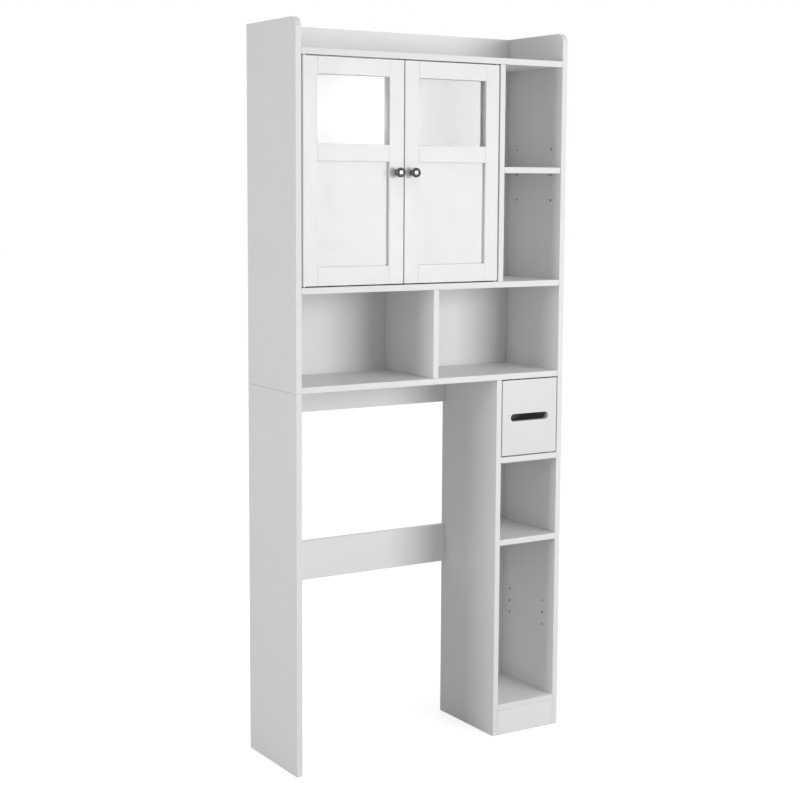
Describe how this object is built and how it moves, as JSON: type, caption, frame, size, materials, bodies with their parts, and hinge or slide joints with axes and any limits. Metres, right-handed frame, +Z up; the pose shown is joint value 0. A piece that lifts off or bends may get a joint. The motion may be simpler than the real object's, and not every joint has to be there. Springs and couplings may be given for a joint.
{
  "type": "over the toilet storage rack",
  "caption": "Tall white bathroom rack that stands over a toilet, with a glazed two-door cabinet, open shelves, a side tower and a pull-out paper drawer.",
  "frame": {"origin": "on the floor, at the centre of the rack's box with the knobs counted in", "axes": "+Z up, +X to the right as seen from the front, front of the rack towards -Y"},
  "size_m": [0.78, 0.275, 1.8],
  "materials": {
    "white_board": "white melamine laminate, satin, on 15 mm particle board with banded edges",
    "thin_board": "white faced hardboard",
    "door_paint": "white satin lacquer on MDF",
    "clear_glass": "clear 3 mm float glass",
    "polished_nickel": "polished nickel plate",
    "zinc_steel": "zinc plated steel",
    "white_plastic": "moulded white plastic"
  },
  "bodies": {
    "cabinet": {"upper_left_side": "white_board", "upper_right_side": "white_board", "top_panel": "white_board", "gallery_rail": "white_board", "cabinet_divider": "white_board", "cabinet_floor": "white_board", "cubby_divider": "white_board", "cubby_floor": "white_board", "upper_back_panel": "thin_board", "cabinet_shelf": "white_board", "column_shelf": "white_board", "cabinet_left_front_pin": "zinc_steel", "cabinet_left_rear_pin": "zinc_steel", "cabinet_right_front_pin": "zinc_steel", "cabinet_right_rear_pin": "zinc_steel", "column_left_front_pin": "zinc_steel", "column_left_rear_pin": "zinc_steel", "column_right_front_pin": "zinc_steel", "column_right_rear_pin": "zinc_steel", "magnetic_catch": "white_plastic", "lower_left_side": "white_board", "tower_left_side": "white_board", "lower_right_side": "white_board", "upper_stretcher": "white_board", "lower_stretcher": "white_board", "drawer_bay_floor": "white_board", "tower_shelf": "white_board", "tower_floor": "white_board", "plinth": "white_board", "tower_back_panel": "thin_board"},
    "left_door": {"left_door_hinge_stile": "door_paint", "left_door_meeting_stile": "door_paint", "left_door_bottom_rail": "door_paint", "left_door_middle_rail": "door_paint", "left_door_top_rail": "door_paint", "left_door_glass": "clear_glass", "left_door_panel": "door_paint", "left_door_knob": "polished_nickel", "left_door_knob_screw": "zinc_steel", "left_door_bottom_pivot_pin": "zinc_steel", "left_door_top_pivot_pin": "zinc_steel", "left_door_strike_plate": "zinc_steel"},
    "right_door": {"right_door_hinge_stile": "door_paint", "right_door_meeting_stile": "door_paint", "right_door_bottom_rail": "door_paint", "right_door_middle_rail": "door_paint", "right_door_top_rail": "door_paint", "right_door_glass": "clear_glass", "right_door_panel": "door_paint", "right_door_knob": "polished_nickel", "right_door_knob_screw": "zinc_steel", "right_door_bottom_pivot_pin": "zinc_steel", "right_door_top_pivot_pin": "zinc_steel", "right_door_strike_plate": "zinc_steel"},
    "drawer": {"drawer_front": "door_paint", "drawer_left_side": "white_board", "drawer_right_side": "white_board", "drawer_back": "white_board", "drawer_bottom": "thin_board"},
    "paper_spindle": {"paper_spindle": "white_plastic"}
  },
  "joints": [
    {"name": "left_door_hinge", "type": "hinge", "parent": "cabinet", "child": "left_door", "pos_m": [-0.366, -0.106, 1.4465], "axis": [0, 0, -1], "range_deg": [0, 100]},
    {"name": "right_door_hinge", "type": "hinge", "parent": "cabinet", "child": "right_door", "pos_m": [0.175, -0.106, 1.4465], "axis": [0, 0, 1], "range_deg": [0, 100]},
    {"name": "drawer_slide", "type": "slide", "parent": "cabinet", "child": "drawer", "axis": [0, -1, 0], "range_m": [0, 0.15]},
    {"name": "spindle_turn", "type": "hinge", "parent": "drawer", "child": "paper_spindle", "pos_m": [0.287, 0.00375, 0.814], "axis": [1, 0, 0], "continuous": true}
  ]
}
